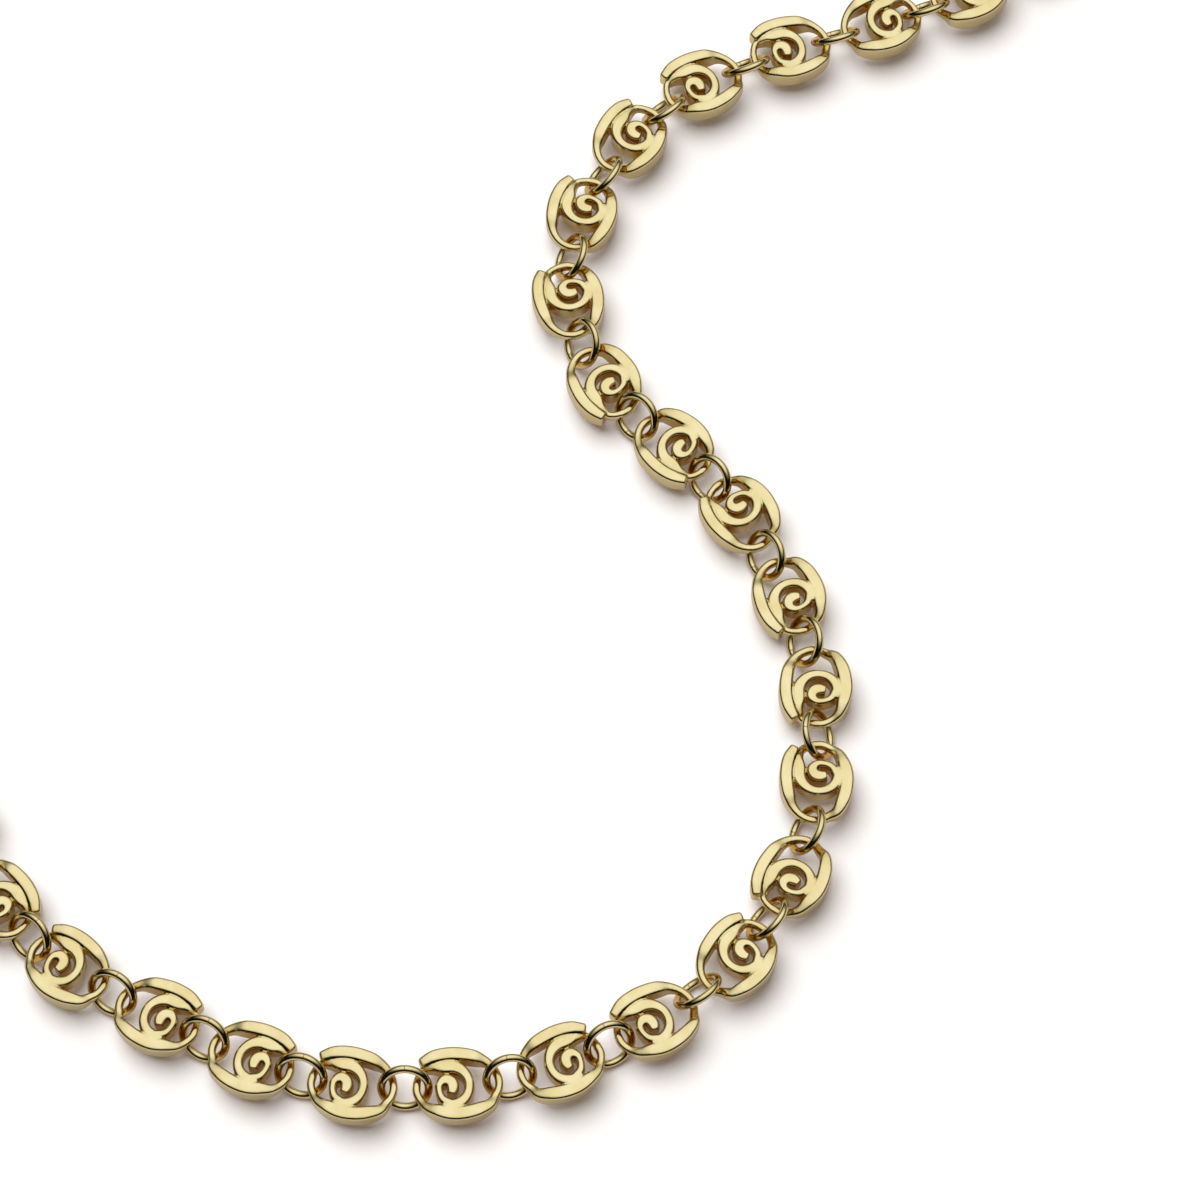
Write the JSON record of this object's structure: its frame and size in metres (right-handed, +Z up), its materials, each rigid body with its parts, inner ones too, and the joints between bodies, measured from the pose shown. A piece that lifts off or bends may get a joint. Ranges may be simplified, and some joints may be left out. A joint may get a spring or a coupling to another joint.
{
  "type": "chain necklace",
  "caption": "Necklace of cast spiral links joined by round jump rings, with a lobster clasp at one end and a closing ring at the other, lying in an S curve.",
  "frame": {"origin": "centre of the laid-out chain's footprint, on the surface it lies on", "axes": "+Z up from the surface; the chain is laid as pictured, from the clasp at -X round through -Y and up to the closing ring at +X +Y"},
  "size_m": [0.1784, 0.1954, 0.0061],
  "materials": {
    "gold_plate": "polished pale gold plate on brass",
    "spring_steel": "bright steel"
  },
  "bodies": {
    "link_01": {"link_01": "gold_plate"},
    "link_02": {"link_02": "gold_plate"},
    "link_03": {"link_03": "gold_plate"},
    "link_04": {"link_04": "gold_plate"},
    "link_05": {"link_05": "gold_plate"},
    "link_06": {"link_06": "gold_plate"},
    "link_07": {"link_07": "gold_plate"},
    "link_08": {"link_08": "gold_plate"},
    "link_09": {"link_09": "gold_plate"},
    "link_10": {"link_10": "gold_plate"},
    "link_11": {"link_11": "gold_plate"},
    "link_12": {"link_12": "gold_plate"},
    "link_13": {"link_13": "gold_plate"},
    "link_14": {"link_14": "gold_plate"},
    "link_15": {"link_15": "gold_plate"},
    "link_16": {"link_16": "gold_plate"},
    "link_17": {"link_17": "gold_plate"},
    "link_18": {"link_18": "gold_plate"},
    "link_19": {"link_19": "gold_plate"},
    "link_20": {"link_20": "gold_plate"},
    "link_21": {"link_21": "gold_plate"},
    "link_22": {"link_22": "gold_plate"},
    "link_23": {"link_23": "gold_plate"},
    "link_24": {"link_24": "gold_plate"},
    "link_25": {"link_25": "gold_plate"},
    "link_26": {"link_26": "gold_plate"},
    "link_27": {"link_27": "gold_plate"},
    "jump_ring_01": {"jump_ring_01": "gold_plate"},
    "jump_ring_02": {"jump_ring_02": "gold_plate"},
    "jump_ring_03": {"jump_ring_03": "gold_plate"},
    "jump_ring_04": {"jump_ring_04": "gold_plate"},
    "jump_ring_05": {"jump_ring_05": "gold_plate"},
    "jump_ring_06": {"jump_ring_06": "gold_plate"},
    "jump_ring_07": {"jump_ring_07": "gold_plate"},
    "jump_ring_08": {"jump_ring_08": "gold_plate"},
    "jump_ring_09": {"jump_ring_09": "gold_plate"},
    "jump_ring_10": {"jump_ring_10": "gold_plate"},
    "jump_ring_11": {"jump_ring_11": "gold_plate"},
    "jump_ring_12": {"jump_ring_12": "gold_plate"},
    "jump_ring_13": {"jump_ring_13": "gold_plate"},
    "jump_ring_14": {"jump_ring_14": "gold_plate"},
    "jump_ring_15": {"jump_ring_15": "gold_plate"},
    "jump_ring_16": {"jump_ring_16": "gold_plate"},
    "jump_ring_17": {"jump_ring_17": "gold_plate"},
    "jump_ring_18": {"jump_ring_18": "gold_plate"},
    "jump_ring_19": {"jump_ring_19": "gold_plate"},
    "jump_ring_20": {"jump_ring_20": "gold_plate"},
    "jump_ring_21": {"jump_ring_21": "gold_plate"},
    "jump_ring_22": {"jump_ring_22": "gold_plate"},
    "jump_ring_23": {"jump_ring_23": "gold_plate"},
    "jump_ring_24": {"jump_ring_24": "gold_plate"},
    "jump_ring_25": {"jump_ring_25": "gold_plate"},
    "jump_ring_26": {"jump_ring_26": "gold_plate"},
    "closing_ring": {"closing_ring": "gold_plate"},
    "clasp_ring": {"clasp_ring": "gold_plate"},
    "clasp": {"clasp_body": "gold_plate", "clasp_pin": "spring_steel", "clasp_spring": "spring_steel"},
    "clasp_lever": {"clasp_lever": "gold_plate"}
  },
  "joints": [
    {"name": "jump_ring_14_swing", "type": "hinge", "parent": "link_14", "child": "jump_ring_14", "pos_m": [0.04076, -0.03219, 0.003], "axis": [-0.9681, -0.2504, 0], "range_deg": [-45, 45]},
    {"name": "link_15_turn", "type": "hinge", "parent": "jump_ring_14", "child": "link_15", "pos_m": [0.03928, -0.02648, 0.003], "axis": [0, 0, 1], "range_deg": [-20, 15]},
    {"name": "jump_ring_15_swing", "type": "hinge", "parent": "link_15", "child": "jump_ring_15", "pos_m": [0.03598, -0.01953, 0.003], "axis": [0.887, 0.4617, 0], "range_deg": [-45, 45]},
    {"name": "link_16_turn", "type": "hinge", "parent": "jump_ring_15", "child": "link_16", "pos_m": [0.03326, -0.01429, 0.003], "axis": [0, 0, -1], "range_deg": [-20, 20]},
    {"name": "jump_ring_16_swing", "type": "hinge", "parent": "link_16", "child": "jump_ring_16", "pos_m": [0.02883, -0.00804, 0.003], "axis": [-0.7431, -0.6691, 0], "range_deg": [-45, 45]},
    {"name": "link_17_turn", "type": "hinge", "parent": "jump_ring_16", "child": "link_17", "pos_m": [0.02488, -0.00365, 0.003], "axis": [0, 0, 1], "range_deg": [-20, 15]},
    {"name": "jump_ring_17_swing", "type": "hinge", "parent": "link_17", "child": "jump_ring_17", "pos_m": [0.01903, 0.00132, 0.003], "axis": [0.7133, 0.7009, 0], "range_deg": [-45, 45]},
    {"name": "link_18_turn", "type": "hinge", "parent": "jump_ring_17", "child": "link_18", "pos_m": [0.01489, 0.00553, 0.003], "axis": [0, 0, -1], "range_deg": [-20, 15]},
    {"name": "jump_ring_18_swing", "type": "hinge", "parent": "link_18", "child": "jump_ring_18", "pos_m": [0.01105, 0.01213, 0.003], "axis": [-0.9336, -0.3584, 0], "range_deg": [-45, 45]},
    {"name": "link_19_turn", "type": "hinge", "parent": "jump_ring_18", "child": "link_19", "pos_m": [0.00894, 0.01764, 0.003], "axis": [0, 0, 1], "range_deg": [-20, 20]},
    {"name": "jump_ring_19_swing", "type": "hinge", "parent": "link_19", "child": "jump_ring_19", "pos_m": [0.00884, 0.02529, 0.003], "axis": [0.9914, -0.1305, 0], "range_deg": [-45, 40]},
    {"name": "link_20_turn", "type": "hinge", "parent": "jump_ring_19", "child": "link_20", "pos_m": [0.00961, 0.03113, 0.003], "axis": [0, 0, -1], "range_deg": [-20, 20]},
    {"name": "jump_ring_20_swing", "type": "hinge", "parent": "link_20", "child": "jump_ring_20", "pos_m": [0.01277, 0.03813, 0.003], "axis": [-0.8704, 0.4924, 0], "range_deg": [-45, 45]},
    {"name": "link_21_turn", "type": "hinge", "parent": "jump_ring_20", "child": "link_21", "pos_m": [0.01568, 0.04327, 0.003], "axis": [0, 0, 1], "range_deg": [-20, 20]},
    {"name": "jump_ring_21_swing", "type": "hinge", "parent": "link_21", "child": "jump_ring_21", "pos_m": [0.02085, 0.04892, 0.003], "axis": [0.6494, -0.7604, 0], "range_deg": [-45, 45]},
    {"name": "link_22_turn", "type": "hinge", "parent": "jump_ring_21", "child": "link_22", "pos_m": [0.02534, 0.05275, 0.003], "axis": [0, 0, -1], "range_deg": [-20, 10]},
    {"name": "jump_ring_22_swing", "type": "hinge", "parent": "link_22", "child": "jump_ring_22", "pos_m": [0.03219, 0.05625, 0.003], "axis": [-0.4067, 0.9135, 0], "range_deg": [-45, 45]},
    {"name": "link_23_turn", "type": "hinge", "parent": "jump_ring_22", "child": "link_23", "pos_m": [0.03758, 0.05865, 0.003], "axis": [0, 0, 1], "range_deg": [-20, 20]},
    {"name": "jump_ring_23_swing", "type": "hinge", "parent": "link_23", "child": "jump_ring_23", "pos_m": [0.04487, 0.06113, 0.003], "axis": [0.3173, -0.9483, 0], "range_deg": [-45, 45]},
    {"name": "link_24_turn", "type": "hinge", "parent": "jump_ring_23", "child": "link_24", "pos_m": [0.05046, 0.06301, 0.003], "axis": [0, 0, -1], "range_deg": [-20, 20]},
    {"name": "jump_ring_24_swing", "type": "hinge", "parent": "link_24", "child": "jump_ring_24", "pos_m": [0.05771, 0.06558, 0.003], "axis": [-0.3746, 0.9272, 0], "range_deg": [-45, 45]},
    {"name": "link_25_turn", "type": "hinge", "parent": "jump_ring_24", "child": "link_25", "pos_m": [0.06318, 0.06779, 0.003], "axis": [0, 0, 1], "range_deg": [-20, 20]},
    {"name": "jump_ring_25_swing", "type": "hinge", "parent": "link_25", "child": "jump_ring_25", "pos_m": [0.06977, 0.0717, 0.003], "axis": [0.6157, -0.788, 0], "range_deg": [-45, 45]},
    {"name": "link_26_turn", "type": "hinge", "parent": "jump_ring_25", "child": "link_26", "pos_m": [0.07442, 0.07533, 0.003], "axis": [0, 0, -1], "range_deg": [-15, 20]},
    {"name": "jump_ring_26_swing", "type": "hinge", "parent": "link_26", "child": "jump_ring_26", "pos_m": [0.07916, 0.08139, 0.003], "axis": [-0.8192, 0.5736, 0], "range_deg": [-45, 45]},
    {"name": "link_27_turn", "type": "hinge", "parent": "jump_ring_26", "child": "link_27", "pos_m": [0.08255, 0.08622, 0.003], "axis": [0, 0, 1], "range_deg": [-20, 20]},
    {"name": "closing_ring_swing", "type": "hinge", "parent": "link_27", "child": "closing_ring", "pos_m": [0.08612, 0.09303, 0.003], "axis": [0.9135, -0.4067, 0], "range_deg": [-45, 45]},
    {"name": "jump_ring_13_swing", "type": "hinge", "parent": "link_14", "child": "jump_ring_13", "pos_m": [0.04189, -0.04278, 0.003], "axis": [-1, 0.0087, 0], "range_deg": [-45, 45]},
    {"name": "link_13_turn", "type": "hinge", "parent": "jump_ring_13", "child": "link_13", "pos_m": [0.04184, -0.04868, 0.003], "axis": [0, 0, 1], "range_deg": [-20, 20]},
    {"name": "jump_ring_12_swing", "type": "hinge", "parent": "link_13", "child": "jump_ring_12", "pos_m": [0.0406, -0.05626, 0.003], "axis": [0.9681, -0.2504, 0], "range_deg": [-45, 45]},
    {"name": "link_12_turn", "type": "hinge", "parent": "jump_ring_12", "child": "link_12", "pos_m": [0.03912, -0.06197, 0.003], "axis": [0, 0, -1], "range_deg": [-20, 20]},
    {"name": "jump_ring_11_swing", "type": "hinge", "parent": "link_12", "child": "jump_ring_11", "pos_m": [0.03563, -0.0688, 0.003], "axis": [-0.8339, 0.5519, 0], "range_deg": [-45, 45]},
    {"name": "link_11_turn", "type": "hinge", "parent": "jump_ring_11", "child": "link_11", "pos_m": [0.03237, -0.07372, 0.003], "axis": [0, 0, 1], "range_deg": [-15, 20]},
    {"name": "jump_ring_10_swing", "type": "hinge", "parent": "link_11", "child": "jump_ring_10", "pos_m": [0.02678, -0.07899, 0.003], "axis": [0.6293, -0.7771, 0], "range_deg": [-45, 45]},
    {"name": "link_10_turn", "type": "hinge", "parent": "jump_ring_10", "child": "link_10", "pos_m": [0.02219, -0.0827, 0.003], "axis": [0, 0, -1], "range_deg": [-20, 20]},
    {"name": "jump_ring_09_swing", "type": "hinge", "parent": "link_10", "child": "jump_ring_09", "pos_m": [0.0155, -0.08648, 0.003], "axis": [-0.4305, 0.9026, 0], "range_deg": [-45, 45]},
    {"name": "link_09_turn", "type": "hinge", "parent": "jump_ring_09", "child": "link_09", "pos_m": [0.01017, -0.08902, 0.003], "axis": [0, 0, 1], "range_deg": [-20, 20]},
    {"name": "jump_ring_08_swing", "type": "hinge", "parent": "link_09", "child": "jump_ring_08", "pos_m": [0.0028, -0.0912, 0.003], "axis": [0.2164, -0.9763, 0], "range_deg": [-45, 45]},
    {"name": "link_08_turn", "type": "hinge", "parent": "jump_ring_08", "child": "link_08", "pos_m": [-0.00296, -0.09248, 0.003], "axis": [0, 0, -1], "range_deg": [-20, 20]},
    {"name": "jump_ring_07_swing", "type": "hinge", "parent": "link_08", "child": "jump_ring_07", "pos_m": [-0.01064, -0.09297, 0.003], "axis": [0, 1, 0], "range_deg": [-45, 45]},
    {"name": "link_07_turn", "type": "hinge", "parent": "jump_ring_07", "child": "link_07", "pos_m": [-0.01654, -0.09297, 0.003], "axis": [0, 0, 1], "range_deg": [-20, 20]},
    {"name": "jump_ring_06_swing", "type": "hinge", "parent": "link_07", "child": "jump_ring_06", "pos_m": [-0.02411, -0.0917, 0.003], "axis": [-0.2588, -0.9659, 0], "range_deg": [-45, 45]},
    {"name": "link_06_turn", "type": "hinge", "parent": "jump_ring_06", "child": "link_06", "pos_m": [-0.02981, -0.09018, 0.003], "axis": [0, 0, -1], "range_deg": [-20, 20]},
    {"name": "jump_ring_05_swing", "type": "hinge", "parent": "link_06", "child": "jump_ring_05", "pos_m": [-0.03681, -0.08697, 0.003], "axis": [0.4305, 0.9026, 0], "range_deg": [-45, 45]},
    {"name": "link_05_turn", "type": "hinge", "parent": "jump_ring_05", "child": "link_05", "pos_m": [-0.04213, -0.08443, 0.003], "axis": [0, 0, 1], "range_deg": [-20, 20]},
    {"name": "jump_ring_04_swing", "type": "hinge", "parent": "link_05", "child": "jump_ring_04", "pos_m": [-0.04895, -0.08084, 0.003], "axis": [-0.4848, -0.8746, 0], "range_deg": [-45, 45]},
    {"name": "link_04_turn", "type": "hinge", "parent": "jump_ring_04", "child": "link_04", "pos_m": [-0.05411, -0.07798, 0.003], "axis": [0, 0, -1], "range_deg": [-20, 20]},
    {"name": "jump_ring_03_swing", "type": "hinge", "parent": "link_04", "child": "jump_ring_03", "pos_m": [-0.06027, -0.07346, 0.003], "axis": [0.7009, 0.7133, 0], "range_deg": [-45, 45]},
    {"name": "link_03_turn", "type": "hinge", "parent": "jump_ring_03", "child": "link_03", "pos_m": [-0.06448, -0.06933, 0.003], "axis": [0, 0, 1], "range_deg": [-15, 20]},
    {"name": "jump_ring_02_swing", "type": "hinge", "parent": "link_03", "child": "jump_ring_02", "pos_m": [-0.06847, -0.06274, 0.003], "axis": [-0.866, -0.5, 0], "range_deg": [-45, 45]},
    {"name": "link_02_turn", "type": "hinge", "parent": "jump_ring_02", "child": "link_02", "pos_m": [-0.07142, -0.05763, 0.003], "axis": [0, 0, -1], "range_deg": [-20, 20]},
    {"name": "jump_ring_01_swing", "type": "hinge", "parent": "link_02", "child": "jump_ring_01", "pos_m": [-0.07499, -0.05081, 0.003], "axis": [0.891, 0.454, 0], "range_deg": [-45, 45]},
    {"name": "link_01_turn", "type": "hinge", "parent": "jump_ring_01", "child": "link_01", "pos_m": [-0.07767, -0.04555, 0.003], "axis": [0, 0, 1], "range_deg": [-20, 20]},
    {"name": "clasp_ring_swing", "type": "hinge", "parent": "link_01", "child": "clasp_ring", "pos_m": [-0.08095, -0.03859, 0.003], "axis": [-0.9135, -0.4067, 0], "range_deg": [-45, 45]},
    {"name": "clasp_turn", "type": "hinge", "parent": "clasp_ring", "child": "clasp", "pos_m": [-0.08288, -0.03395, 0.00274], "axis": [0.0586, -0.145, -0.9877], "range_deg": [-50, 50]},
    {"name": "clasp_lever_open", "type": "hinge", "parent": "clasp", "child": "clasp_lever", "pos_m": [-0.08327, -0.03032, 0.00218], "axis": [-0.0586, 0.145, 0.9877], "range_deg": [0, 30], "stiffness_Nm_per_rad": 0.01, "springref_deg": -20.05}
  ]
}
